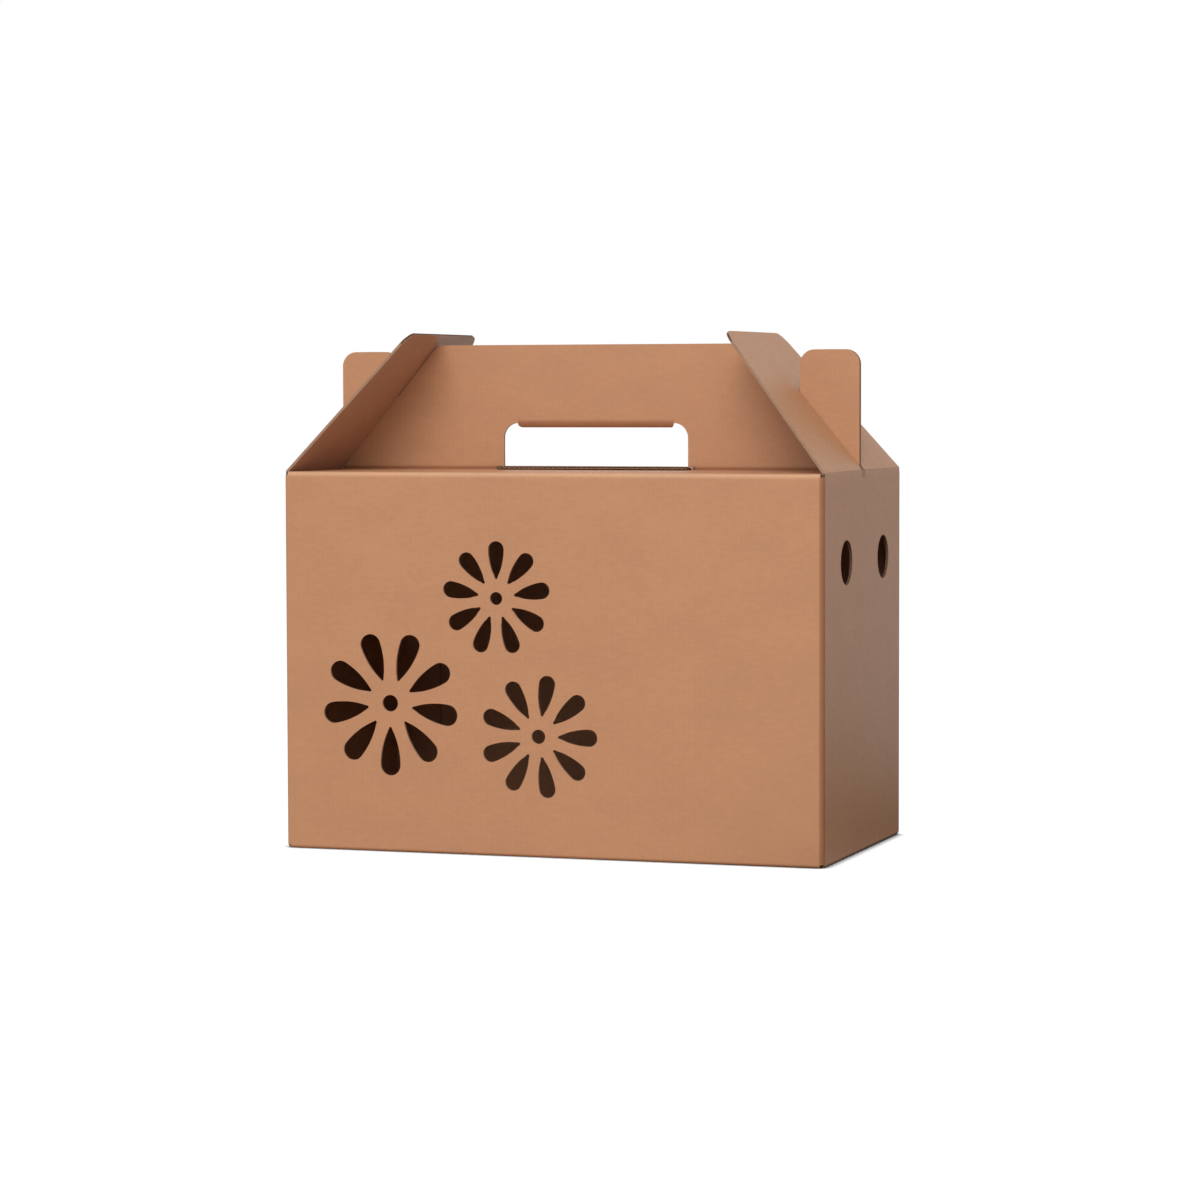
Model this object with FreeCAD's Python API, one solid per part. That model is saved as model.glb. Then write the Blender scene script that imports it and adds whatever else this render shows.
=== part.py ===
import FreeCAD, Part
import math
import os

# A carry carton of corrugated board, cut and folded from one sheet. The tube of four walls is
# closed below by an interlocking bottom and above by a flat roof whose two halves turn up into a
# double carrying handle. A sloping flap at each end hooks over the ears at the handle's ends.
# X runs along the length, Y from the front wall to the back wall, Z up. Z = 0 is the underside.

# The sheet
board = 1.6
fold_inside = 0.4
layer_gap = 0.3
die_slit = 0.4
roof_slit = 0.1

# The body
length = 340.0
depth = 180.0
height = 230.0
glue_tab = 32.0
glue_tab_chamfer = 12.0
seam_setback = 0.5

# The handle and its ears
handle_rise = 77.1
handle_gap = 0.5
handle_corner = 9.0
ear_width = 37.2
ear_rise = 73.2
ear_corner = 9.0
notch_corner = 0.6

# The hand hole, its tuck flap and the tongue at its foot
hole_width = 119.6
hole_bottom = 1.7
hole_top = 28.7
hole_corner = 9.0
tuck_width = 101.6
tuck_inset = 5.4
tuck_tail = 18.0
tuck_corner = 4.0
tuck_inside = 1.1
tongue_width = 124.4
tongue_reach = 12.0
tongue_root = 4.0
tongue_slope = 8.5
tongue_bend = 8.0
tongue_overlap = 4.0
tongue_freed = 3.0

# The sloping end flaps
flap_length = 108.2
flap_slope = 50.4
flap_lift = 0.45
flap_tip_width = 115.8
flap_corner = 6.0
flap_clearance = 0.4
slot_side = 0.7
slot_start = 0.3
slot_corner = 0.8

# The round vents in the end walls
vent_radius = 13.4
vent_height = 176.4
vent_from_front = 50.9
vent_from_back = 42.8

# The flowers cut in the front wall: left edge to centre, base to centre, tip radius, root radius,
# petal width, dot radius, and the direction of the first petal
petals = 9
petal_root = 1.0
flower_left = dict(across=68.5, up=90.2, tip=43.9, root=14.4, width=12.8, dot=5.0, first=-90.0)
flower_top = dict(across=137.0, up=154.7, tip=34.3, root=11.6, width=9.9, dot=3.9, first=90.0)
flower_right = dict(across=163.6, up=72.4, tip=37.1, root=12.4, width=10.2, dot=4.3, first=0.0)

# The bottom: a front panel outermost, the end panels above it, the back panel innermost
bottom_ramp = 9.0
bottom_bend = 6.0
ramp_margin = 1.0
front_panel_reach = 90.0
front_panel_taper = 22.0
front_panel_shoulder = 128.0
catch_width = 100.0
catch_length = 36.0
catch_slope = 16.0
catch_corner = 8.0
end_panel_reach = 78.0
end_panel_front = 44.0
end_panel_back = 20.0
back_panel_reach = 98.0
back_panel_shoulder = 250.0
back_panel_taper = 30.0
catch_notch_width = 108.0
catch_notch_depth = 35.0
panel_corner = 6.0

# Sizes that follow from the ones above
half_length = length / 2
half_depth = depth / 2
fold_outside = fold_inside + board
fold_middle = fold_inside + board / 2
wall_top = height - fold_outside
roof_middle = height - board / 2
end_half_depth = half_depth - fold_outside - die_slit
ear_outer = half_length - fold_outside - roof_slit
ear_inner = ear_outer - ear_width
ear_top = height + ear_rise
handle_top = height + handle_rise
handle_middle = (handle_gap + board) / 2
handle_face = handle_gap / 2 + board
slope = math.radians(flap_slope)
flap_fold = height + flap_lift


def vec(a, b):
    return FreeCAD.Vector(a, b, 0)


def on_xy(p):
    return FreeCAD.Vector(p.x, p.y, 0)


def on_yz(p):
    return FreeCAD.Vector(0, p.x, p.y)


def on_xz(p):
    return FreeCAD.Vector(p.x, 0, p.y)


def unit(v):
    return v * (1 / v.Length)


def left_of(direction):
    return vec(-direction.y, direction.x)


def bend(before, corner, after, radius):
    """The start, centre and end of the arc that rounds a corner, and its side: 1 left, -1 right."""
    d_in = unit(corner - before)
    d_out = unit(after - corner)
    turn = math.atan2(d_in.x * d_out.y - d_in.y * d_out.x, d_in.dot(d_out))
    side = 1 if turn > 0 else -1
    reach = radius * math.tan(abs(turn) / 2)
    start = corner - d_in * reach
    end = corner + d_out * reach
    centre = start + left_of(d_in) * side * radius
    return start, centre, end, side


def joined(edges):
    return Part.Face(Part.Wire(Part.sortEdges(edges)[0]))


def line(a, b, plane):
    return Part.LineSegment(plane(a), plane(b)).toShape()


def arc(a, middle, b, plane):
    return Part.Arc(plane(a), plane(middle), plane(b)).toShape()


def board_section(points, radii, plane):
    """The board's section along a bent line through its middle. One radius for each bend."""
    edges = []
    ends = []
    for offset in (board / 2, -board / 2):
        here = points[0] + left_of(unit(points[1] - points[0])) * offset
        first = here
        for i, radius in enumerate(radii, 1):
            start, centre, end, side = bend(points[i - 1], points[i], points[i + 1], radius)
            own_radius = radius - side * offset
            a = centre + unit(start - centre) * own_radius
            b = centre + unit(end - centre) * own_radius
            middle = centre + unit(points[i] - centre) * own_radius
            edges.append(line(here, a, plane))
            edges.append(arc(a, middle, b, plane))
            here = b
        last = points[-1] + left_of(unit(points[-1] - points[-2])) * offset
        edges.append(line(here, last, plane))
        ends.append((first, last))
    edges.append(line(ends[0][0], ends[1][0], plane))
    edges.append(line(ends[0][1], ends[1][1], plane))
    return joined(edges)


def outline(corners, plane):
    """A closed outline. Each corner is (a, b, radius), and radius 0 leaves it sharp."""
    edges = []
    places = [vec(a, b) for a, b, radius in corners]
    here = None
    first = None
    for i, (a, b, radius) in enumerate(corners):
        if radius == 0:
            start = end = places[i]
        else:
            before = places[i - 1]
            after = places[(i + 1) % len(places)]
            start, centre, end, side = bend(before, places[i], after, radius)
            middle = centre + unit(places[i] - centre) * radius
            edges.append(arc(start, middle, end, plane))
        if here is None:
            first = start
        else:
            edges.append(line(here, start, plane))
        here = end
    edges.append(line(here, first, plane))
    return joined(edges)


def mirrored(corners):
    """The outline's right half, from bottom to top, with the same corners mirrored after it."""
    return corners + [(-a, b, radius) for a, b, radius in reversed(corners)]


def extruded_x(face, low, high):
    return face.translated(FreeCAD.Vector(low, 0, 0)).extrude(FreeCAD.Vector(high - low, 0, 0))


def extruded_y(face, low, high):
    return face.translated(FreeCAD.Vector(0, low, 0)).extrude(FreeCAD.Vector(0, high - low, 0))


def extruded_z(face, low, high):
    return face.translated(FreeCAD.Vector(0, 0, low)).extrude(FreeCAD.Vector(0, 0, high - low))


def block(x, y, z):
    """A box between pairs of limits."""
    size = (x[1] - x[0], y[1] - y[0], z[1] - z[0])
    return Part.makeBox(*size, FreeCAD.Vector(x[0], y[0], z[0]))


def mirror_x(shape):
    return shape.mirror(FreeCAD.Vector(0, 0, 0), FreeCAD.Vector(1, 0, 0))


def mirror_y(shape):
    return shape.mirror(FreeCAD.Vector(0, 0, 0), FreeCAD.Vector(0, 1, 0))


def walls():
    """Four walls bent round three corners, with the tab at the fourth glued inside the back wall."""
    wall_x = half_length - board / 2
    wall_y = half_depth - board / 2
    tab_y = wall_y - board
    path = [vec(-half_length + glue_tab, tab_y),
            vec(-wall_x, tab_y),
            vec(-wall_x, -wall_y),
            vec(wall_x, -wall_y),
            vec(wall_x, wall_y),
            vec(0, wall_y)]
    tube = extruded_z(board_section(path, [fold_middle] * 4, on_xy), fold_outside, wall_top)
    for z, up in ((fold_outside, 1), (wall_top, -1)):
        trim = outline([(-half_length + glue_tab - glue_tab_chamfer, z, 0),
                        (-half_length + glue_tab, z, 0),
                        (-half_length + glue_tab, z + up * glue_tab_chamfer, 0)], on_xz)
        tube = tube.cut(extruded_y(trim, tab_y - board, tab_y + board / 2))
    back = block((-half_length + seam_setback, 0), (half_depth - board, half_depth),
                 (fold_outside, wall_top))
    return tube.fuse(back)


def top_panel():
    """The front half of the roof and its half of the handle, with the ears, as one bent strip."""
    path = [vec(-half_depth + board / 2, wall_top - board),
            vec(-half_depth + board / 2, roof_middle),
            vec(-handle_middle, roof_middle),
            vec(-handle_middle, max(handle_top, ear_top) + board)]
    strip = extruded_x(board_section(path, [fold_middle] * 2, on_yz), -half_length, half_length)
    # The handle's sloping shoulders follow the underside of the end flaps.
    under_flap = flap_fold - (board + flap_clearance) / math.cos(slope)
    notch = under_flap + (half_length - ear_inner) * math.tan(slope)
    shoulder = half_length - (handle_top - under_flap) / math.tan(slope)
    keep = mirrored([(ear_outer, wall_top - 2 * board, 0),
                     (ear_outer, ear_top, ear_corner),
                     (ear_inner, ear_top, ear_corner),
                     (ear_inner, notch, notch_corner),
                     (shoulder, handle_top, handle_corner)])
    return strip.common(extruded_y(outline(keep, on_xz), -depth, depth))


def hand_hole(half_width):
    corners = mirrored([(half_width, height + hole_bottom, 0),
                        (half_width, height + hole_top, hole_corner)])
    return extruded_y(outline(corners, on_xz), -depth / 4, depth / 4)


def tuck_flap():
    """The flap from the front hole's upper edge, tucked back under both boards and up behind."""
    hinge = height + hole_top
    radius = tuck_inside + board / 2
    behind = handle_face + layer_gap + board / 2
    path = [vec(-handle_middle, hinge + board),
            vec(-handle_middle, hinge - radius),
            vec(behind, hinge - radius),
            vec(behind, hinge + tuck_tail)]
    half = tuck_width / 2
    flap = extruded_x(board_section(path, [radius] * 2, on_yz), -half, half)
    front = -handle_face
    back = behind + board / 2
    sides = mirrored([(half, front - board, 0),
                      (half, front, 0),
                      (half - tuck_inset, back, 0),
                      (half - tuck_inset, back + board, 0)])
    ends = mirrored([(half, hinge - 2 * radius, 0),
                     (half, hinge + 2 * board, 0),
                     (half - tuck_inset, hinge + 3 * board, 0),
                     (half - tuck_inset, hinge + tuck_tail, tuck_corner)])
    flap = flap.common(extruded_z(outline(sides, on_xy), hinge - tuck_tail, hinge + 2 * tuck_tail))
    return flap.common(extruded_y(outline(ends, on_xz), -depth / 4, depth / 4))


def foot_relief():
    """What the front sheet leaves free for the tongue: the crease and a strip of the roof."""
    half = tongue_width / 2 + die_slit
    edge = -tongue_reach + tongue_overlap
    return block((-half, half), (edge, tongue_reach), (height - 2 * board, height + hole_bottom))


def tongue():
    """The back roof's tongue, which comes forward through the hand hole's foot."""
    rise = (tongue_root + tongue_reach) * math.tan(math.radians(tongue_slope))
    path = [vec(3 * tongue_root, roof_middle),
            vec(tongue_root, roof_middle),
            vec(-tongue_reach, roof_middle + rise)]
    half = tongue_width / 2
    return extruded_x(board_section(path, [tongue_bend], on_yz), -half, half)


def front_top():
    panel = top_panel()
    panel = panel.cut(hand_hole(hole_width / 2))
    panel = panel.cut(foot_relief())
    return panel.fuse(tuck_flap())


def back_top():
    panel = mirror_y(top_panel())
    half = tongue_width / 2 + die_slit
    panel = panel.cut(hand_hole(half))
    freed = block((-half, half), (-tongue_reach, tongue_freed),
                  (height - 2 * board, height + hole_bottom + board))
    panel = panel.cut(freed)
    return panel.fuse(tongue())


def end_flap():
    """The right end flap: it slopes up and inwards over the handle and takes the ears in its slot."""
    turn = math.pi / 2 - slope
    fold_z = flap_fold - board / 2 * math.tan(turn / 2)
    fold_x = half_length - board / 2
    along = vec(-math.cos(slope), math.sin(slope))
    path = [vec(fold_x, wall_top - board),
            vec(fold_x, fold_z),
            vec(fold_x, fold_z) + along * flap_length]
    strip = extruded_y(board_section(path, [fold_middle], on_xz), -half_depth, half_depth)
    # The outline and the slot are drawn flat, U up the flap and V along Y, then turned into place.
    blank = mirrored([(end_half_depth, -4 * board, 0),
                      (end_half_depth, 0, 0),
                      (flap_tip_width / 2, flap_length + board, flap_corner)])
    slot_end = (half_length - ear_inner + flap_clearance) / math.cos(slope)
    slot = mirrored([(handle_face + slot_side, slot_start, slot_corner),
                     (handle_face + slot_side, slot_end, slot_corner)])
    deep = 6 * board
    cutter = extruded_z(outline(blank, on_xy), -deep, deep)
    cutter = cutter.cut(extruded_z(outline(slot, on_xy), -deep, deep))
    cutter.rotate(FreeCAD.Vector(0, 0, 0), FreeCAD.Vector(1, 0, 0), flap_slope)
    cutter.rotate(FreeCAD.Vector(0, 0, 0), FreeCAD.Vector(0, 0, 1), 90)
    cutter.translate(FreeCAD.Vector(half_length, 0, flap_fold))
    return strip.common(cutter)


def petal_cutter(flower, angle):
    """One petal: a blunt root, two long curved sides and a round tip."""
    tip_radius = flower["width"] / 2
    centre = flower["tip"] - tip_radius
    root = flower["root"]
    run = centre - root - petal_root
    rise = tip_radius - petal_root
    side_radius = (run * run + rise * rise) / (2 * rise)
    half_turn = math.asin(run / side_radius) / 2
    mid_along = centre - side_radius * math.sin(half_turn)
    mid_across = tip_radius - side_radius * (1 - math.cos(half_turn))
    shoulder = root + petal_root
    edges = [arc(vec(centre, tip_radius), vec(flower["tip"], 0), vec(centre, -tip_radius), on_xz),
             arc(vec(shoulder, petal_root), vec(root, 0), vec(shoulder, -petal_root), on_xz)]
    for side in (1, -1):
        edges.append(arc(vec(shoulder, side * petal_root), vec(mid_along, side * mid_across),
                         vec(centre, side * tip_radius), on_xz))
    petal = extruded_y(joined(edges), -2 * board, 2 * board)
    petal.rotate(FreeCAD.Vector(0, 0, 0), FreeCAD.Vector(0, -1, 0), angle)
    return petal


def flower_cutters(flower):
    place = FreeCAD.Vector(-half_length + flower["across"], -half_depth, flower["up"])
    cutters = []
    for i in range(petals):
        petal = petal_cutter(flower, flower["first"] + i * 360 / petals)
        cutters.append(petal.translated(place))
    dot = Part.makeCylinder(flower["dot"], 4 * board, FreeCAD.Vector(0, -2 * board, 0),
                            FreeCAD.Vector(0, 1, 0))
    cutters.append(dot.translated(place))
    return cutters


def vent_cutters():
    cutters = []
    for y in (-half_depth + vent_from_front, half_depth - vent_from_back):
        start = FreeCAD.Vector(-length, y, vent_height)
        cutters.append(Part.makeCylinder(vent_radius, 2 * length, start, FreeCAD.Vector(1, 0, 0)))
    return cutters


def bottom_strip(reach, rise, plane, low, high, half, lift_end=None):
    """A panel hinged at the foot of the wall whose outer face is at -half. It climbs by the rise,
    and a lift_end of (crease, length, angle) turns its end up beyond the crease."""
    wall = -half + board / 2
    ramp = math.radians(bottom_ramp)
    points = [vec(wall, fold_outside + board), vec(wall, board / 2)]
    radii = [fold_middle]
    if rise > 0:
        run = rise / math.tan(ramp)
        start = wall + fold_middle
        points = [vec(wall, fold_outside + board),
                  vec(wall, board / 2 - fold_middle * math.tan(ramp)),
                  vec(start + run, board / 2 + rise)]
        radii = [fold_middle, bottom_bend]
    if lift_end is None:
        points.append(vec(-half + reach, board / 2 + rise))
    else:
        crease, run_out, angle = lift_end
        climb = math.radians(angle)
        points.append(vec(crease, board / 2 + rise))
        points.append(vec(crease + run_out * math.cos(climb),
                          board / 2 + rise + run_out * math.sin(climb)))
        radii.append(bottom_bend)
    face = board_section(points, radii, plane)
    if plane is on_yz:
        return extruded_x(face, low, high)
    return extruded_y(face, low, high)


def mitre(level):
    """How far in from a fold a panel has climbed to the level of the given number of boards."""
    return fold_outside + ramp_margin + level * (board + layer_gap) / math.tan(math.radians(bottom_ramp))


def bottom_front():
    """The outermost panel, flat on the ground, with a catch that lifts through the back panel."""
    crease = -half_depth + front_panel_reach
    strip = bottom_strip(front_panel_reach, 0, on_yz, -half_length, half_length, half_depth,
                         (crease, catch_length, catch_slope))
    catch_tip = catch_length * math.cos(math.radians(catch_slope)) - board
    inner = half_length - mitre(1)
    full = half_length - fold_outside - die_slit
    fold_y = -half_depth + fold_outside
    corners = mirrored([(full, -half_depth - board, 0),
                        (full, fold_y, 0),
                        (inner, fold_y + full - inner, 0),
                        (inner, crease - front_panel_taper, panel_corner),
                        (front_panel_shoulder / 2, crease, 0),
                        (catch_width / 2, crease, 0),
                        (catch_width / 2, crease + catch_tip, catch_corner)])
    return strip.common(extruded_z(outline(corners, on_xy), -board, height / 4))


def bottom_back():
    """The innermost panel, notched for the catch."""
    rise = 2 * (board + layer_gap)
    strip = bottom_strip(back_panel_reach, rise, on_yz, -half_length, half_length, half_depth)
    inner = half_length - mitre(1)
    full = half_length - fold_outside - die_slit
    fold_y = -half_depth + fold_outside
    front = -half_depth + back_panel_reach
    notch = front - catch_notch_depth
    corners = mirrored([(full, -half_depth - board, 0),
                        (full, fold_y, 0),
                        (inner, fold_y + full - inner, 0),
                        (inner, front - back_panel_taper, panel_corner),
                        (back_panel_shoulder / 2, front, panel_corner),
                        (catch_notch_width / 2, front, 0),
                        (catch_notch_width / 2, notch, panel_corner)])
    return mirror_y(strip.common(extruded_z(outline(corners, on_xy), -board, height / 4)))


def bottom_end():
    """The right end's panel, between the other two."""
    rise = board + layer_gap
    strip = bottom_strip(end_panel_reach, rise, on_xz, -half_depth, half_depth, half_length)
    full = half_depth - fold_outside - die_slit
    fold_x = -half_length + fold_outside
    front_edge = half_depth - mitre(1)
    back_edge = half_depth - mitre(2)
    tip = -half_length + end_panel_reach
    corners = [(-half_length - board, -full, 0),
               (fold_x, -full, 0),
               (fold_x + full - front_edge, -front_edge, panel_corner),
               (tip, -end_panel_front, panel_corner),
               (tip, end_panel_back, panel_corner),
               (fold_x + full - back_edge, back_edge, panel_corner),
               (fold_x, full, 0),
               (-half_length - board, full, 0)]
    return mirror_x(strip.common(extruded_z(outline(corners, on_xy), -board, height / 4)))


def carton():
    right_flap = end_flap()
    right_bottom = bottom_end()
    sheet = walls()
    cutters = vent_cutters()
    for flower in (flower_left, flower_top, flower_right):
        cutters.extend(flower_cutters(flower))
    sheet = sheet.cut(cutters)
    sheet = sheet.fuse([front_top(), back_top(), right_flap, mirror_x(right_flap), bottom_front(),
                        bottom_back(), right_bottom, mirror_x(right_bottom)])
    return sheet.removeSplitter()


os.makedirs("parts", exist_ok=True)
body = carton()
solids = body.Solids
print("solids", len(solids), "valid", body.isValid(), "volume", round(body.Volume),
      "faces", len(body.Faces), "box", body.BoundBox)
solids[0].exportStep("parts/carton.step")
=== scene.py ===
import math

import bmesh
import bpy
from mathutils import Matrix, Vector
from mathutils.bvhtree import BVHTree


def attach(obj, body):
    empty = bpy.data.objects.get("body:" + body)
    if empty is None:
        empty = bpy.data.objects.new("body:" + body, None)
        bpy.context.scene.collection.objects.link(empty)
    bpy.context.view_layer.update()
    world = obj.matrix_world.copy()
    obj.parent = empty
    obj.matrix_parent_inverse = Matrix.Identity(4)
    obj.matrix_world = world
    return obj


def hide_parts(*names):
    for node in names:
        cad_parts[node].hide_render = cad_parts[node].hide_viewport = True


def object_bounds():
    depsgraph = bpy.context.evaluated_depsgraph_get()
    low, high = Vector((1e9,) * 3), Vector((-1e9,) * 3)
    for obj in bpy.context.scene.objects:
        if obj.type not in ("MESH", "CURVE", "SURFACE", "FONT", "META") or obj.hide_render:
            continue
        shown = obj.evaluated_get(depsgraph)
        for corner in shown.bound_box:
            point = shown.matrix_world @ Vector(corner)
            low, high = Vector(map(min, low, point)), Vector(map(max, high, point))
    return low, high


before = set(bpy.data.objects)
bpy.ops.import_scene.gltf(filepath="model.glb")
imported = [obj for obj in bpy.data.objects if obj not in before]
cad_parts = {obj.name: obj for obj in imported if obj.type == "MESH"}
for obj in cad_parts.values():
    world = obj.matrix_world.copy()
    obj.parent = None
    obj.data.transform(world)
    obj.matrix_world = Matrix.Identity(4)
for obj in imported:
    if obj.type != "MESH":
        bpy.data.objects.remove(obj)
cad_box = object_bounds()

# The finish of a carry carton of kraft corrugated board. The sheet keeps its form from the frame.
# Its raw edges are opened up into two liners with the wavy medium between them, its bends are
# divided finer, and the free corners of its end flaps are rounded.

mm = 0.001

# The board
board = 1.6 * mm
liner = 0.26 * mm
medium = 0.17 * mm
flute_pitch = 3.2 * mm
flute_opening = 1.3 * mm
flute_set_back = 0.06 * mm
flute_step = 0.4 * mm

# The carton
half_length = cad_box[1][0]
half_depth = cad_box[1][1]
roof = 230 * mm
bottom_zone = 12 * mm
tuck_fold = roof + 28.7 * mm
tuck_half = 50.8 * mm
flap_slope = math.radians(50.4)
flap_fold = roof + 0.45 * mm
flap_reach = 108.49 * mm
flap_tip_half = 58.26 * mm
flap_taper = math.radians(15.5)
flap_corner = 12 * mm
corner_cuts = 6

# How far the painted shade, the painted highlight and the softness of the folds reach
fold_band = 3.6 * mm
fold_reach = 5 * mm
handle_band = 5.4 * mm
tuck_band = 2.8 * mm

# Which facets of a bend are divided, and where the shading breaks
flat_turn = math.radians(0.4)
smallest_turn = math.radians(2)
largest_turn = math.radians(50)
sharp_turn = math.radians(32)
largest_sag = 0.12 * mm
rounding_passes = 2

# How the sheet's faces are told apart. A facing is the least share of a normal along an axis.
weld_gap = 0.002 * mm
cut_gap = 0.001 * mm
ray_start = 0.01 * mm
thin_board = 0.7 * board
thick_board = 1.25 * board
seam_slack = 0.04 * board
short_cross = 0.9 * board
long_cross = 1.3 * board
wall_facing = 0.9
under_facing = 0.3
end_panel_facing = 0.25

# The way into the board where faces meet: how short the sum of their normals may be, and how far
# the way may be drawn out. The medium's wave starts on the outer side.
opposed_length = 0.01
least_slant = 0.5
outer_side = Vector((1, 1.3, 1.7))

# The sheet's material slots
outer_liner = 0
raw_edge = 1
inner_liner = 2

# The camera that the photograph was taken with
camera_place = Vector((0.73882, -2.16817, 0.27973))
camera_yaw = math.radians(-18.767)
camera_pitch = math.radians(3.256)
camera_roll = math.radians(-0.153)
focal_pixels = 3710.8
picture_pixels = 1200
sensor = 36

# Colours, as linear values
kraft = (0.490, 0.245, 0.127)
# The inner liner's colour, paler and greyer than the outer liner: partly its own colour, partly painted
# light that lifts the shaded flap undersides
kraft_inside_and_painted_light = (0.470, 0.270, 0.175)
# Painted shade, laid along the right end's upright folds, the handle's foot and the hand hole's upper
# edge
kraft_painted_shade = (0.270, 0.100, 0.040)
# A painted highlight on the front and back walls' top folds
kraft_painted_highlight = (0.600, 0.335, 0.190)
kraft_edge = (0.330, 0.200, 0.135)
kraft_medium = (0.300, 0.175, 0.110)
floor_white = (0.24, 0.24, 0.24)
# A painted shadow: the dark colour the floor throws back near the carton's right
floor_painted_shadow = (0.10, 0.06, 0.03)
floor_far = (0.53, 0.40, 0.32)
sky_white = (1.0, 1.0, 1.0)

# The light: one soft lamp high in front of the carton, and the sky
lamp_aim = (0, 0, 0.2)
key_place = (0.27, -2.7, 2.4)
key_size = 2.4
key_power = 92
sky_fill = 0.44
sky_seen = 1.0

# The floor: its size, its glow, the shadow where the carton stands, and the painted shadow where it
# throws back less
floor_half = 8
floor_glow = 0.90
contact_reach = 9 * mm
contact_dark = 0.5
contact_clear = 0.8
contact_samples = 6
floor_shade_place = (0.42, 0.12, 0)
floor_painted_shadow_reach = 0.22
floor_far_reach = 0.46

# The grain's noises: scale, detail, and how many times longer the grain is on each axis
cloud_noise = (42, 3, (1.6, 1.6, 1))
formation_noise = (330, 4, (2, 2, 1))
fibre_noise = (1500, 3, (7, 7, 1))
speck_noise = (900, 2, (3, 3, 1))
noise_roughness = 0.55
speck_low = 0.69
speck_high = 0.76
speck_depth = 2
fibre_height = 0.5

# The liners' finish
liner_grain = {"Cloud": 0.075, "Formation": 0.06, "Fibre": 0.07}
liner_grain_depth = 0.05 * mm
washboard_tone = 0.008
washboard_depth = 0.010 * mm
painted_shade_depth = 0.85
painted_highlight_depth = 0.8
fold_softness = 0.3 * mm
paper_roughness = 0.62
paper_polish = 0.12
paper_specular = 0.44

# The raw paper's finish
raw_grain = {"Cloud": 0.08, "Formation": 0.16, "Fibre": 0.14}
raw_grain_depth = 0.12 * mm
raw_roughness = 0.95
raw_specular = 0.2

# A Mix node's sockets when it mixes colours
mix_first = 6
mix_second = 7
mix_result = 2


# Shared steps for node trees

def add(tree, kind, **values):
    """A new node. Each value goes to the property of its name, or else to the socket."""
    node = tree.nodes.new(kind)
    for name, value in values.items():
        if hasattr(node, name):
            setattr(node, name, value)
        else:
            node.inputs[name].default_value = value
    return node


def math_node(tree, operation, a, b=None, clamp=False):
    """A Math node over sockets or numbers. It returns the output socket."""
    node = add(tree, "ShaderNodeMath", operation=operation, use_clamp=clamp)
    for socket, value in zip(node.inputs, (a, b)):
        if value is None:
            continue
        if isinstance(value, (int, float)):
            socket.default_value = value
        else:
            tree.links.new(value, socket)
    return node.outputs[0]


def product(tree, first, *others):
    """Sockets and numbers, multiplied together."""
    for other in others:
        first = math_node(tree, "MULTIPLY", first, other)
    return first


def largest(tree, first, *others):
    """The largest of several sockets."""
    for other in others:
        first = math_node(tree, "MAXIMUM", first, other)
    return first


def one_minus(tree, value):
    return math_node(tree, "SUBTRACT", 1, value)


def away_from(tree, value, middle):
    """How far a socket's value lies from a middle, on either side."""
    return math_node(tree, "ABSOLUTE", math_node(tree, "SUBTRACT", value, middle))


def ramp_up(tree, value, low, high):
    """0 below low and 1 above high, smooth between."""
    node = add(tree, "ShaderNodeMapRange", interpolation_type="SMOOTHSTEP")
    node.inputs["From Min"].default_value = low
    node.inputs["From Max"].default_value = high
    tree.links.new(value, node.inputs["Value"])
    return node.outputs["Result"]


def object_place(tree):
    """The place on the carton, as a vector socket."""
    return add(tree, "ShaderNodeTexCoord").outputs["Object"]


def axes(tree, vector):
    """A vector socket's X, Y and Z sockets."""
    node = add(tree, "ShaderNodeSeparateXYZ")
    tree.links.new(vector, node.inputs[0])
    return node.outputs


def noise(tree, vector, scale, detail, stretch):
    """Noise on a vector socket, with its grain drawn out along the axes."""
    mapping = add(tree, "ShaderNodeMapping", vector_type="TEXTURE", Scale=stretch)
    tree.links.new(vector, mapping.inputs["Vector"])
    texture = add(tree, "ShaderNodeTexNoise", Scale=scale, Detail=detail, Roughness=noise_roughness)
    tree.links.new(mapping.outputs["Vector"], texture.inputs["Vector"])
    return texture.outputs["Fac"]


def mixed(tree, first, second, share):
    """Two colours, each fixed or from a socket, mixed by a share from a socket."""
    node = add(tree, "ShaderNodeMix", data_type="RGBA")
    for socket, colour in ((node.inputs[mix_first], first), (node.inputs[mix_second], second)):
        if isinstance(colour, tuple):
            socket.default_value = (*colour, 1)
        else:
            tree.links.new(colour, socket)
    tree.links.new(share, node.inputs[0])
    return node.outputs[mix_result]


def toned(tree, colour, tone):
    """A colour, fixed or from a socket, times a tone."""
    node = add(tree, "ShaderNodeVectorMath", operation="SCALE")
    if isinstance(colour, tuple):
        node.inputs[0].default_value = colour
    else:
        tree.links.new(colour, node.inputs[0])
    tree.links.new(tone, node.inputs["Scale"])
    return node.outputs[0]


def bump(tree, height, distance, under=None):
    """The normal of a height socket, laid over another normal where one is given."""
    node = add(tree, "ShaderNodeBump", Strength=1.0, Distance=distance)
    tree.links.new(height, node.inputs["Height"])
    if under is not None:
        tree.links.new(under, node.inputs["Normal"])
    return node.outputs["Normal"]


# The groups that the finishes share

def new_group(name, inputs, outputs):
    """A shader node group of float sockets. It returns the tree, its inputs and its outputs."""
    tree = bpy.data.node_groups.new(name, "ShaderNodeTree")
    for label in inputs:
        tree.interface.new_socket(label, in_out="INPUT", socket_type="NodeSocketFloat")
    for label in outputs:
        tree.interface.new_socket(label, in_out="OUTPUT", socket_type="NodeSocketFloat")
    return tree, add(tree, "NodeGroupInput").outputs, add(tree, "NodeGroupOutput").inputs


def place_group(tree, group, **values):
    """A group in a material, with its own values. It returns the group's outputs."""
    node = add(tree, "ShaderNodeGroup", node_tree=group)
    for label, value in values.items():
        node.inputs[label].default_value = value
    return node.outputs


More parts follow.
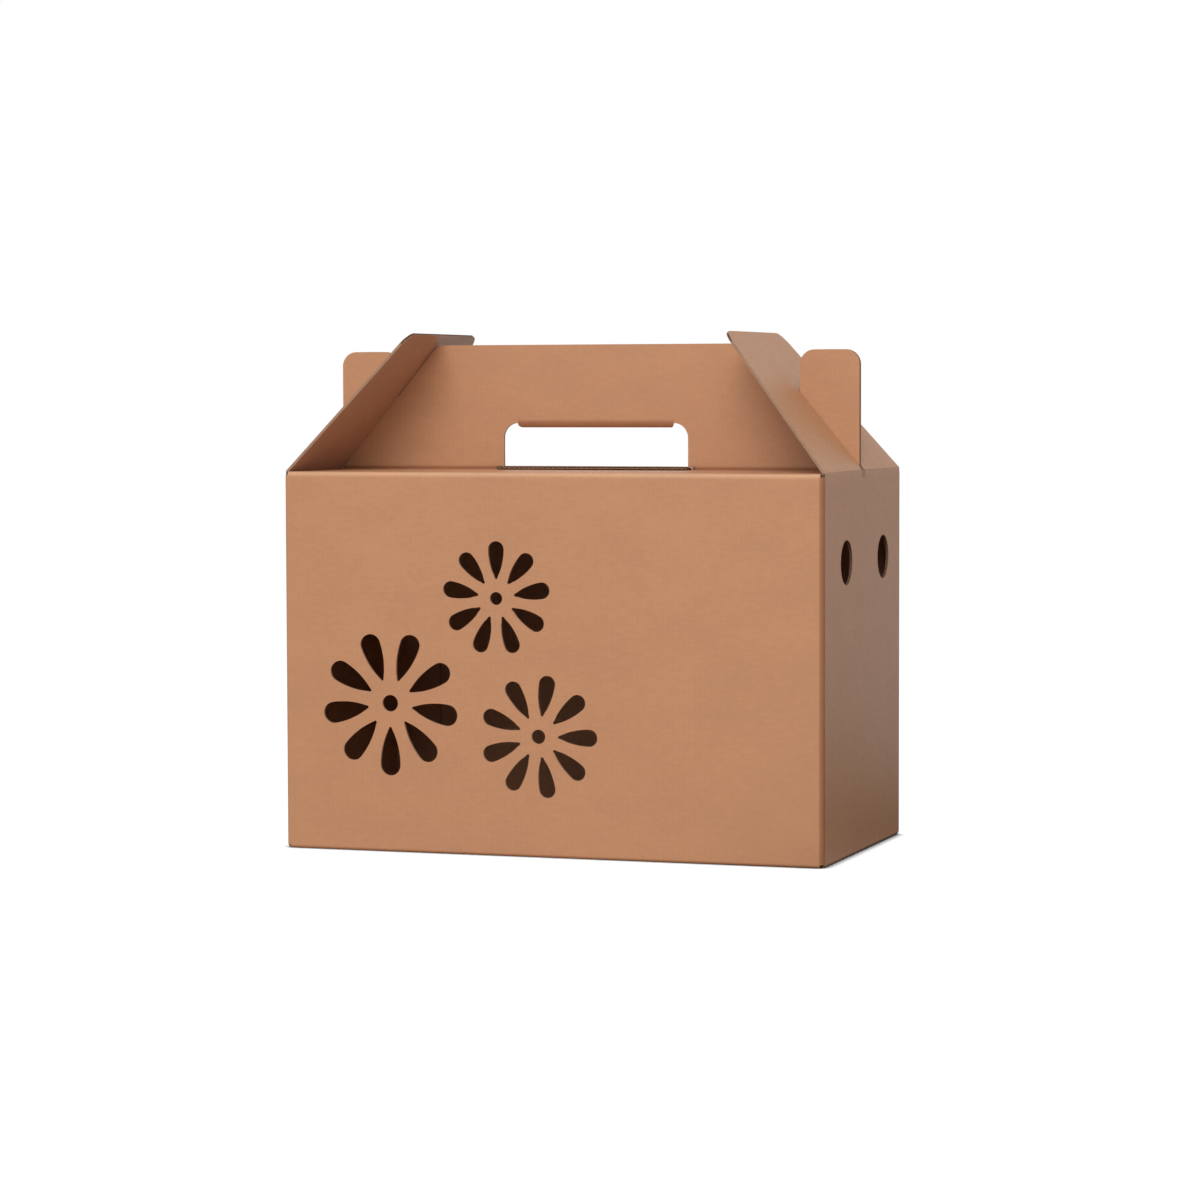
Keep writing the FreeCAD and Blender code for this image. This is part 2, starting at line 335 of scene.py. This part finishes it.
def paper_grain_group():
    """Kraft paper: soft clouds, finer formation, long fibres and sparse dark specks. The inputs say
    how far each moves the tone."""
    tree, shares, results = new_group("paper_grain", ["Cloud", "Formation", "Fibre"],
                                      ["Tone", "Height"])
    place = object_place(tree)
    cloud = noise(tree, place, *cloud_noise)
    formation = noise(tree, place, *formation_noise)
    fibre = noise(tree, place, *fibre_noise)
    tone = 1
    for source, label in ((cloud, "Cloud"), (formation, "Formation"), (fibre, "Fibre")):
        swing = product(tree, math_node(tree, "SUBTRACT", source, 0.5), 2, shares[label])
        tone = math_node(tree, "ADD", tone, swing)
    speck = ramp_up(tree, noise(tree, place, *speck_noise), speck_low, speck_high)
    dark = product(tree, speck, shares["Fibre"], speck_depth)
    tree.links.new(math_node(tree, "SUBTRACT", tone, dark), results["Tone"])
    height = math_node(tree, "ADD", product(tree, fibre, fibre_height), formation)
    tree.links.new(height, results["Height"])
    return tree


def washboard_group():
    """The flutes showing through a liner: a wave across them, along X or, on the end panels, Y."""
    tree, _, results = new_group("washboard", [], ["Wave"])
    place = axes(tree, object_place(tree))
    normal = axes(tree, add(tree, "ShaderNodeNewGeometry").outputs["True Normal"])
    facing_x = math_node(tree, "ABSOLUTE", normal["X"])
    end_panel = math_node(tree, "GREATER_THAN", facing_x, end_panel_facing)
    along_x = product(tree, place["X"], one_minus(tree, end_panel))
    along_y = product(tree, place["Y"], end_panel)
    angle = product(tree, math_node(tree, "ADD", along_x, along_y), 2 * math.pi / flute_pitch)
    tree.links.new(math_node(tree, "COSINE", angle), results["Wave"])
    return tree


def fold_shading_group():
    """Mask is painted shade: 1 along the right end's upright folds, the handle's foot and the hand
    hole's upper edge, where shade falls. Pale is a painted highlight: 1 where the front and the back
    wall turn into the roof. Height falls off towards the roof's folds, which softens them."""
    tree, _, results = new_group("fold_shading_bands", [], ["Mask", "Pale", "Height"])
    place = axes(tree, object_place(tree))
    x = math_node(tree, "ABSOLUTE", place["X"])
    y = math_node(tree, "ABSOLUTE", place["Y"])
    z = place["Z"]
    at_end = ramp_up(tree, x, half_length - fold_band, half_length - fold_band / 2)
    at_side = ramp_up(tree, y, half_depth - fold_band, half_depth - fold_band / 2)
    rightward = ramp_up(tree, place["X"], -half_length, half_length)
    corner = product(tree, at_end, at_side, rightward)
    at_handle = one_minus(tree, ramp_up(tree, y, handle_band / 2, handle_band))
    from_roof = away_from(tree, z, roof - board / 2)
    at_roof = one_minus(tree, ramp_up(tree, from_roof, fold_band / 2, fold_band))
    foot = product(tree, at_handle, at_roof)
    at_tuck = one_minus(tree, ramp_up(tree, away_from(tree, z, tuck_fold), 0, tuck_band))
    tuck = product(tree, at_handle, at_tuck, math_node(tree, "LESS_THAN", x, tuck_half))
    tree.links.new(largest(tree, corner, foot, tuck), results["Mask"])
    turned = ramp_up(tree, z, roof - fold_band, roof - board)
    tree.links.new(product(tree, turned, at_side), results["Pale"])
    away = math_node(tree, "DIVIDE", away_from(tree, z, roof), fold_reach)
    close = math_node(tree, "SUBTRACT", 1, away, clamp=True)
    tree.links.new(one_minus(tree, product(tree, close, close)), results["Height"])
    return tree


# The finishes

def empty_material(name):
    """A material with an output node alone. It returns the material, its tree and that node's input."""
    material = bpy.data.materials.new(name)
    material.use_nodes = True
    tree = material.node_tree
    tree.nodes.clear()
    return material, tree, add(tree, "ShaderNodeOutputMaterial").inputs["Surface"]


def liner_material(name, base, grain, washboard, fold_shading):
    """One face of the sheet, with the flutes showing through, painted shade along the right end's
    upright folds, the handle's foot and the hand hole's upper edge, and a painted highlight on the
    top folds of the front and back.
    """
    material, tree, surface = empty_material(name)
    shader = add(tree, "ShaderNodeBsdfPrincipled")
    tree.links.new(shader.outputs["BSDF"], surface)
    paper = place_group(tree, grain, **liner_grain)
    wave = place_group(tree, washboard)["Wave"]
    folds = place_group(tree, fold_shading)
    # A painted highlight on the front and back walls' top folds
    highlighted = mixed(tree, base, kraft_painted_highlight, product(tree, folds["Pale"], painted_highlight_depth))
    # Painted shade along the right end's upright folds, the handle's foot and the hand hole's upper edge
    shaded_colour = mixed(tree, highlighted, kraft_painted_shade, product(tree, folds["Mask"], painted_shade_depth))
    stripe = math_node(tree, "ADD", product(tree, wave, washboard_tone), 1)
    colour = toned(tree, shaded_colour, product(tree, paper["Tone"], stripe))
    tree.links.new(colour, shader.inputs["Base Color"])
    softened = bump(tree, folds["Height"], fold_softness)
    ridged = bump(tree, wave, washboard_depth, softened)
    grained = bump(tree, paper["Height"], liner_grain_depth, ridged)
    tree.links.new(grained, shader.inputs["Normal"])
    polish = product(tree, paper["Height"], paper_polish)
    roughness = math_node(tree, "SUBTRACT", paper_roughness, polish)
    tree.links.new(roughness, shader.inputs["Roughness"])
    shader.inputs["Specular IOR Level"].default_value = paper_specular
    return material


def raw_material(name, base, grain):
    """Raw paper: the liners' cut edges and the medium."""
    material, tree, surface = empty_material(name)
    shader = add(tree, "ShaderNodeBsdfPrincipled")
    tree.links.new(shader.outputs["BSDF"], surface)
    paper = place_group(tree, grain, **raw_grain)
    tree.links.new(toned(tree, base, paper["Tone"]), shader.inputs["Base Color"])
    tree.links.new(bump(tree, paper["Height"], raw_grain_depth), shader.inputs["Normal"])
    shader.inputs["Roughness"].default_value = raw_roughness
    shader.inputs["Specular IOR Level"].default_value = raw_specular
    return material


# The sheet: its faces' finishes

def cad_copy(name):
    """A node's mesh with its triangles joined up."""
    bm = bmesh.new()
    bm.from_mesh(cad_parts[name].data)
    bmesh.ops.remove_doubles(bm, verts=bm.verts, dist=weld_gap)
    bm.normal_update()
    return bm


def mark_raw_edges(bm):
    """The raw edges' finish, and the outer liner's on all other faces. A face is a liner where the
    sheet's other side is one board behind it, or two at the glued seam."""
    tree = BVHTree.FromBMesh(bm)
    for face in bm.faces:
        start = face.calc_center_median() - face.normal * ray_start
        thick = tree.ray_cast(start, -face.normal)[3] or 0
        one_board = thin_board < thick < thick_board
        two_boards = abs(thick - 2 * board) < seam_slack
        face.material_index = outer_liner if one_board or two_boards else raw_edge


def reached_from_front(bm):
    """The liner faces that the front wall's outer face leads to without crossing a raw edge."""
    reached = {face for face in bm.faces if face.material_index == outer_liner
               and face.normal.y < -wall_facing
               and face.calc_center_median().y < board / 2 - half_depth}
    to_visit = list(reached)
    while to_visit:
        for loop in to_visit.pop().loops:
            other = loop.link_loop_radial_next.face
            if other.material_index == outer_liner and other not in reached:
                reached.add(other)
                to_visit.append(other)
    return reached


def is_under_flap(face):
    """Whether a face is on an end flap's underside."""
    place = face.calc_center_median()
    flap_end = half_length - 2 * board - flap_reach * math.cos(flap_slope)
    return face.normal.z < -under_facing and place.z > roof and abs(place.x) > flap_end


def mark_inner_liner(bm):
    """The inner liner's finish, on the end flaps' undersides and on the liner faces that the front
    wall's outer face doesn't lead to."""
    outer = reached_from_front(bm)
    for face in bm.faces:
        if face.material_index == outer_liner and (face not in outer or is_under_flap(face)):
            face.material_index = inner_liner


# The sheet: the flaps' corners and the bends

def trim(bm, middle, reach, place, normal):
    """Cuts off what lies outside a plane, on the faces with a corner near the middle, and closes it."""
    near = [face for face in bm.faces if any((vert.co - middle).length < reach for vert in face.verts)]
    parts = {part for face in near for part in (face, *face.edges, *face.verts)}
    cut = bmesh.ops.bisect_plane(bm, geom=list(parts), dist=cut_gap, plane_co=place,
                                 plane_no=normal, clear_outer=True)["geom_cut"]
    rim = [part for part in cut if isinstance(part, bmesh.types.BMEdge)]
    for face in bmesh.ops.holes_fill(bm, edges=rim, sides=0)["faces"]:
        face.material_index = raw_edge
        face.normal_update()
        if face.normal.dot(normal) < 0:
            face.normal_flip()


def round_flap_corners(bm):
    """Rounds the two free corners of each end flap with a fan of cuts along one arc."""
    inset = flap_corner * (1 - math.sin(flap_taper)) / math.cos(flap_taper)
    for end in (1, -1):
        up = Vector((-end * math.cos(flap_slope), 0, math.sin(flap_slope)))
        fold = Vector((end * half_length, 0, flap_fold))
        for side in (1, -1):
            out = Vector((0, side, 0))
            tip = fold + up * flap_reach + out * flap_tip_half
            centre = tip - up * flap_corner - out * inset
            for i in range(corner_cuts):
                angle = (math.pi / 2 - flap_taper) * (i + 0.5) / corner_cuts
                normal = up * math.cos(angle) + out * math.sin(angle)
                trim(bm, tip, 3 * flap_corner, centre + normal * flap_corner, normal)


def cut_through(bm, place, normal):
    """A line of points across the whole sheet, where a plane meets it."""
    everything = bm.verts[:] + bm.edges[:] + bm.faces[:]
    bmesh.ops.bisect_plane(bm, geom=everything, dist=cut_gap, plane_co=place, plane_no=normal)


def support_lines(bm):
    """A line of points beside each fold keeps the shading of the flat panels flat."""
    for side in (1, -1):
        cut_through(bm, (side * (half_length - fold_band), 0, 0), (1, 0, 0))
        cut_through(bm, (0, side * (half_depth - fold_band), 0), (0, 1, 0))
        cut_through(bm, (0, side * handle_band, 0), (0, 1, 0))
        cut_through(bm, (0, 0, roof + side * fold_band), (0, 0, 1))
    cut_through(bm, (0, 0, fold_band), (0, 0, 1))


def turn_at(edge):
    """The turn between an edge's two faces where it belongs to a bend or a curved cut, else 0."""
    if len(edge.link_faces) != 2:
        return 0
    turn = edge.calc_face_angle_signed()
    return turn if smallest_turn < abs(turn) < largest_turn else 0


def sag(edge, turn):
    """How far an arc stands off the middle of a chord, from the arc's turn."""
    return edge.calc_length() * turn / 8


def bend_across(face):
    """The two sides of a facet that run round a bend, and the bend's turn, or None."""
    edges = [loop.edge for loop in face.loops]
    turns = [turn_at(edge) for edge in edges]
    for i in (0, 1):
        turn = max(turns[i], turns[i + 2], key=abs)
        sides = (edges[1 - i], edges[3 - i])
        plain_sides = turns[1 - i] == 0 and turns[3 - i] == 0
        if turn != 0 and plain_sides and max(abs(sag(side, turn)) for side in sides) <= largest_sag:
            return sides, turn
    return None


def held_in_box(place):
    """A place moved into the carton's box where it lies outside."""
    return Vector([min(max(place[i], cad_box[0][i]), cad_box[1][i]) for i in range(3)])


def round_curves(bm):
    """Halves each facet of a bend or a curved cut, with the new line out on the true arc."""
    bends = {face: bend_across(face) for face in bm.faces if len(face.edges) == 4}
    bends = {face: bend for face, bend in bends.items() if bend is not None}
    moves = {}
    for face, (sides, turn) in bends.items():
        for side in sides:
            moves.setdefault(side, []).append(face.normal * sag(side, turn))
    middles = {}
    for edge, shifts in moves.items():
        middle = bmesh.utils.edge_split(edge, edge.verts[0], 0.5)[1]
        middle.co = held_in_box(middle.co + sum(shifts, Vector()) / len(shifts))
        middles[edge] = middle
    for face, (sides, turn) in bends.items():
        bmesh.utils.face_split(face, middles[sides[0]], middles[sides[1]])
    bm.normal_update()


# The sheet: its raw edges

def is_raw(face):
    return face.material_index == raw_edge


def is_cross(loop):
    """Whether a raw face's side runs through the board, from liner to liner."""
    length = loop.edge.calc_length()
    return is_raw(loop.link_loop_radial_next.face) and short_cross < length < long_cross


def inward(normals):
    """The way into the board from a place where faces with these normals meet."""
    total = sum(normals, Vector())
    if total.length < opposed_length:
        return Vector()
    way = -total.normalized()
    slant = min(-way.dot(normal) for normal in normals)
    return way / max(slant, least_slant)


def side_chains(face):
    """The two sides of a raw edge's face between its cross edges, as points in the same direction,
    the ways into the board at its ends and the liner's normal. None for any other face."""
    loops = face.loops[:]
    cross = [i for i, loop in enumerate(loops) if is_cross(loop)]
    rest = [loop for i, loop in enumerate(loops) if i not in cross]
    if len(cross) != 2 or any(is_raw(loop.link_loop_radial_next.face) for loop in rest):
        return None
    first, second = cross
    near = loops[first + 1:second]
    far = loops[second + 1:] + loops[:first]
    if not near or not far:
        return None
    liner_normal = near[0].link_loop_radial_next.face.normal
    near_points = [loop.vert.co.copy() for loop in near + [loops[second]]]
    far_points = [loop.vert.co.copy() for loop in reversed(far + [loops[first]])]
    ends = [inward([face.normal, loops[i].link_loop_radial_next.face.normal]) for i in cross]
    return near_points, far_points, ends, liner_normal


def point_along(points, share):
    """The point at a share of a chain's length."""
    runs = list(zip(points, points[1:]))
    left = share * sum((b - a).length for a, b in runs)
    for a, b in runs:
        run = (b - a).length
        if left < run:
            return a.lerp(b, left / run)
        left -= run
    return points[-1]


def across_flutes(place, liner_normal):
    """The coordinate that the flutes follow one another along."""
    if place.z < bottom_zone:
        at_end = half_length - abs(place.x) < half_depth - abs(place.y)
    else:
        at_end = abs(liner_normal.x) > end_panel_facing
    return place.y if at_end else place.x


def flute_row(near, far, ends, liner_normal):
    """Points for the medium behind one raw face: on the cut, deep in the board, and the way through
    the board. They follow the medium's wave."""
    swing = board / 2 - liner - medium / 2
    first = across_flutes((near[0] + far[0]) / 2, liner_normal)
    last = across_flutes((near[-1] + far[-1]) / 2, liner_normal)
    steps = max(1, math.ceil(abs(last - first) / flute_step))
    row = []
    for i in range(steps + 1):
        share = i / steps
        a = point_along(near, share)
        b = point_along(far, share)
        through = (b - a).normalized()
        if through.dot(outer_side) < 0:
            through.negate()
        middle = (a + b) / 2
        phase = 2 * math.pi * across_flutes(middle, liner_normal) / flute_pitch
        way = ends[0].lerp(ends[1], share)
        top = middle + through * math.cos(phase) * swing + way * flute_set_back
        row.append((top, top + way * flute_opening, through))
    return row


def flute_rows(bm):
    """A row of points for the medium behind each raw face."""
    found = [side_chains(face) for face in bm.faces if is_raw(face)]
    return [flute_row(*chains) for chains in found if chains is not None]


def liner_points(edge):
    """Two new points on a cross edge, each one liner from an end of it."""
    share = liner / edge.calc_length()
    rest, first = bmesh.utils.edge_split(edge, edge.verts[0], share)
    rest = edge if first in edge.verts and edge.calc_length() > rest.calc_length() else rest
    return first, bmesh.utils.edge_split(rest, first, 1 - share / (1 - share))[1]


def between_liners(face, pairs):
    """Cuts a raw face along its two liners. It returns the strip between them."""
    (a, b), (c, d) = pairs
    order = [loop.vert for loop in face.loops]
    count = len(order)
    if (order.index(b) - order.index(a)) % count == (order.index(d) - order.index(c)) % count:
        c, d = d, c
    strip = face
    for one, other, far in ((a, c, b), (b, d, a)):
        part = bmesh.utils.face_split(strip, one, other)[0]
        strip = strip if far in strip.verts else part
    return strip


def open_flutes(bm):
    """Sinks the middle of each raw edge between its two liners."""
    opened = [face for face in bm.faces if is_raw(face) and side_chains(face) is not None]
    crossings = {}
    for face in opened:
        for loop in face.loops:
            if is_cross(loop):
                crossings.setdefault(loop.edge, []).append(face)
    pairs = {face: [] for face in opened}
    for edge, faces in crossings.items():
        points = liner_points(edge)
        for face in faces:
            pairs[face].append(points)
    strips = [between_liners(face, pairs[face]) for face in opened]
    bm.normal_update()
    bmesh.ops.inset_region(bm, faces=strips, thickness=0, depth=0, use_boundary=True)
    normals = {}
    for face in strips:
        for vert in face.verts:
            normals.setdefault(vert, []).append(face.normal.copy())
    for vert, around in normals.items():
        vert.co += inward(around) * flute_opening


# The pieces

def finished(name, bm, materials):
    """A piece of the carton from a mesh, with its sharp edges marked."""
    bm.normal_update()
    for face in bm.faces:
        face.smooth = True
    for edge in bm.edges:
        edge.smooth = len(edge.link_faces) == 2 and edge.calc_face_angle() < sharp_turn
    mesh = bpy.data.meshes.new(name)
    bm.to_mesh(mesh)
    bm.free()
    for material in materials:
        mesh.materials.append(material)
    piece = bpy.data.objects.new(name, mesh)
    bpy.context.scene.collection.objects.link(piece)
    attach(piece, "root")
    return piece


def sheet_piece(materials):
    """The carton: liners, raw edges with open flutes, rounded folds. It also returns the rows of
    points for its medium."""
    bm = cad_copy("carton")
    mark_raw_edges(bm)
    bmesh.ops.dissolve_limit(bm, angle_limit=flat_turn, verts=bm.verts, edges=bm.edges,
                             delimit={"MATERIAL"})
    round_flap_corners(bm)
    support_lines(bm)
    bm.normal_update()
    for i in range(rounding_passes):
        round_curves(bm)
    mark_inner_liner(bm)
    rows = flute_rows(bm)
    open_flutes(bm)
    return finished("carton_sheet", bm, materials), rows


def medium_piece(rows, material):
    """The wavy medium: a thin closed strip behind every raw edge."""
    bm = bmesh.new()
    for row in rows:
        rings = []
        for top, deep, through in row:
            half = through * medium / 2
            rings.append([bm.verts.new(co) for co in (top + half, top - half, deep - half, deep + half)])
        for here, there in zip(rings, rings[1:]):
            for i in range(4):
                j = (i + 1) % 4
                bm.faces.new((here[i], here[j], there[j], there[i]))
        bm.faces.new(reversed(rings[0]))
        bm.faces.new(rings[-1])
    bmesh.ops.recalc_face_normals(bm, faces=bm.faces)
    return finished("carton_medium", bm, [material])


# The stage

def floor_material():
    """White to the camera, with the carton's soft shadow. A painted shadow, a darker floor colour in a
    disc at the carton's right, makes it throw less light back on the carton there and dims its glow
    in reflections there, where the photograph's end wall is darker."""
    material, tree, surface = empty_material("floor_paper")
    reach = add(tree, "ShaderNodeVectorMath", operation="DISTANCE")
    reach.inputs[1].default_value = floor_shade_place
    tree.links.new(object_place(tree), reach.inputs[0])
    far = ramp_up(tree, reach.outputs["Value"], floor_painted_shadow_reach, floor_far_reach)
    rays = add(tree, "ShaderNodeLightPath").outputs
    # Painted shadow in reflections: the floor's glow fades near the carton's right
    mirrored = product(tree, largest(tree, rays["Is Glossy Ray"], rays["Is Transmission Ray"]), far)
    seen = largest(tree, mirrored, rays["Is Camera Ray"])
    closeness = add(tree, "ShaderNodeAmbientOcclusion", Distance=contact_reach, samples=contact_samples)
    clear = ramp_up(tree, closeness.outputs["AO"], contact_dark, contact_clear)
    glow = add(tree, "ShaderNodeEmission", Color=(*sky_white, 1))
    tree.links.new(product(tree, seen, clear, floor_glow), glow.inputs["Strength"])
    paper = add(tree, "ShaderNodeBsdfDiffuse")
    # Painted shadow: near the carton's right the floor throws back a dark colour
    thrown = mixed(tree, floor_painted_shadow, floor_far, far)
    tree.links.new(mixed(tree, thrown, floor_white, seen), paper.inputs["Color"])
    both = add(tree, "ShaderNodeAddShader")
    tree.links.new(paper.outputs["BSDF"], both.inputs[0])
    tree.links.new(glow.outputs["Emission"], both.inputs[1])
    tree.links.new(both.outputs[0], surface)
    return material


def stage_floor():
    bm = bmesh.new()
    bmesh.ops.create_grid(bm, x_segments=1, y_segments=1, size=floor_half)
    mesh = bpy.data.meshes.new("floor")
    bm.to_mesh(mesh)
    bm.free()
    mesh.materials.append(floor_material())
    floor = bpy.data.objects.new("floor", mesh)
    bpy.context.scene.collection.objects.link(floor)


def stage_sky():
    """White to the camera and in reflections, and a soft fill on the carton."""
    world = bpy.data.worlds.new("studio")
    bpy.context.scene.world = world
    world.use_nodes = True
    tree = world.node_tree
    tree.nodes.clear()
    rays = add(tree, "ShaderNodeLightPath").outputs
    seen = largest(tree, rays["Is Camera Ray"], rays["Is Glossy Ray"], rays["Is Transmission Ray"])
    strength = add(tree, "ShaderNodeMapRange")
    strength.inputs["To Min"].default_value = sky_fill
    strength.inputs["To Max"].default_value = sky_seen
    tree.links.new(seen, strength.inputs["Value"])
    sky = add(tree, "ShaderNodeBackground", Color=(*sky_white, 1))
    tree.links.new(strength.outputs["Result"], sky.inputs["Strength"])
    output = add(tree, "ShaderNodeOutputWorld")
    tree.links.new(sky.outputs["Background"], output.inputs["Surface"])


def stage_lamp():
    """A square soft lamp, high in front of the carton."""
    data = bpy.data.lights.new("key", "AREA")
    data.shape = "SQUARE"
    data.size = key_size
    data.energy = key_power
    light = bpy.data.objects.new("key", data)
    bpy.context.scene.collection.objects.link(light)
    towards = Vector(lamp_aim) - Vector(key_place)
    turned = towards.to_track_quat("-Z", "Y").to_matrix().to_4x4()
    light.matrix_world = Matrix.Translation(key_place) @ turned


def stage_camera():
    """The photograph's own camera, in the carton's frame."""
    data = bpy.data.cameras.new("camera")
    data.sensor_width = sensor
    data.lens = sensor * focal_pixels / picture_pixels
    camera = bpy.data.objects.new("camera", data)
    bpy.context.scene.collection.objects.link(camera)
    to_camera = (Matrix.Rotation(camera_roll, 3, "Z") @ Matrix.Rotation(camera_pitch, 3, "X")
                 @ Matrix.Rotation(math.radians(90), 3, "X") @ Matrix.Rotation(camera_yaw, 3, "Z"))
    turned = to_camera.transposed() @ Matrix.Diagonal((1, -1, -1))
    camera.matrix_world = Matrix.Translation(camera_place) @ turned.to_4x4()
    bpy.context.scene.camera = camera


stage_camera()
stage_floor()
stage_sky()
stage_lamp()
bpy.context.scene.view_settings.view_transform = "Standard"

grain = paper_grain_group()
washboard = washboard_group()
fold_shading = fold_shading_group()
outer_finish = liner_material("kraft_liner", kraft, grain, washboard, fold_shading)
inner_finish = liner_material("kraft_inner_liner", kraft_inside_and_painted_light, grain, washboard, fold_shading)
edge_finish = raw_material("kraft_raw_edge", kraft_edge, grain)
medium_finish = raw_material("kraft_medium", kraft_medium, grain)

sheet, medium_rows = sheet_piece([outer_finish, edge_finish, inner_finish])
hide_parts("carton")
medium_piece(medium_rows, medium_finish)
